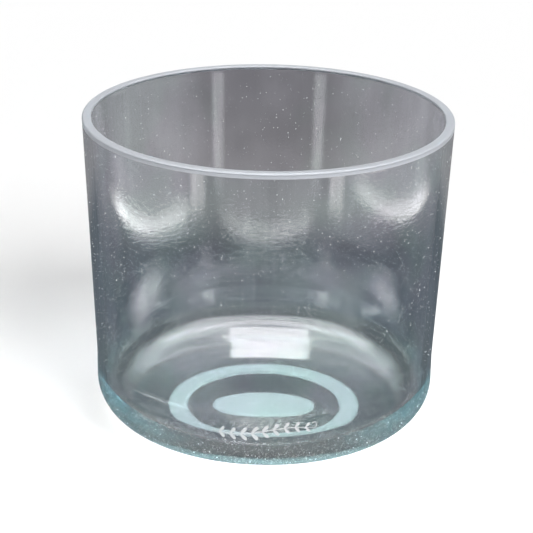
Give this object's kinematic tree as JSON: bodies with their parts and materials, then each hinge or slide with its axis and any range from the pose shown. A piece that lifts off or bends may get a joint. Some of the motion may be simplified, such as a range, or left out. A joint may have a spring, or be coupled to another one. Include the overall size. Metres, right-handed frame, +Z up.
{
  "type": "quartz singing bowl",
  "caption": "Tall clear fused-quartz bowl with a tinted, rounded base, slightly flared wall and flat ground rim; stands on a ground foot ring.",
  "frame": {"origin": "on the bowl's axis, in the plane it stands on", "axes": "+Z up along the axis of revolution, from the foot to the mouth; +X and +Y are level"},
  "size_m": [0.2028, 0.2028, 0.1786],
  "materials": {
    "clear_quartz": "clear, fire-polished, with fine seeds and ripple",
    "tinted_quartz": "clear, blue-green in its thickness, grainy at the heel",
    "ground_quartz": "ground matte"
  },
  "bodies": {
    "root": {"base": "tinted_quartz", "side_wall": "clear_quartz", "ground_lip": "ground_quartz", "foot_ring": "ground_quartz", "centre_pad": "ground_quartz"}
  },
  "joints": []
}
